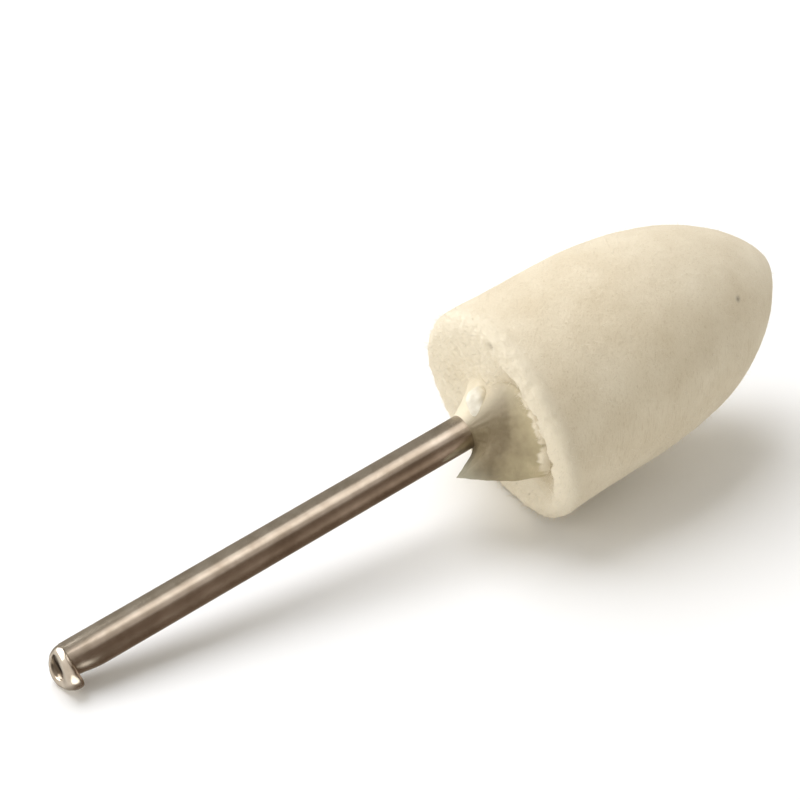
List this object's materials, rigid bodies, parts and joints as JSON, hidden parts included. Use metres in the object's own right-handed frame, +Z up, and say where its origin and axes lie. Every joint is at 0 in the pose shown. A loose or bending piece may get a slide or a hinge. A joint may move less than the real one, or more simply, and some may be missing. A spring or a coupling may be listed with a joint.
{
  "type": "felt polishing wheel",
  "caption": "Bullet-shaped pressed wool felt polishing wheel, glued on a round steel shank for a rotary tool's collet.",
  "frame": {"origin": "centre of the flat floor of the dish in the shank's free end, on the shank's axis", "axes": "+Z up; +X towards the tip of the head, seen from above. The wheel lies on its side as on a bench, resting on the shank's lip and the head's rear edge, so the shank's axis rises 10.4 degrees from +X towards +Z"},
  "size_m": [0.0732, 0.02, 0.022],
  "materials": {
    "wool_felt": "matt, fuzzy pressed wool in an undyed cream",
    "shank_steel": "drawn and lightly polished, bright along the top, with fine lines along its length",
    "hard_glue": "hardened amber adhesive",
    "glue_soaked_felt": "felt stiffened and darkened by adhesive",
    "clear_glue": "whitish, slightly glossy drop of adhesive"
  },
  "bodies": {
    "root": {"felt_head": "wool_felt", "shank": "shank_steel", "glue_sleeve": "hard_glue", "glue_collar": "glue_soaked_felt", "glue_bead": "clear_glue"}
  },
  "joints": []
}
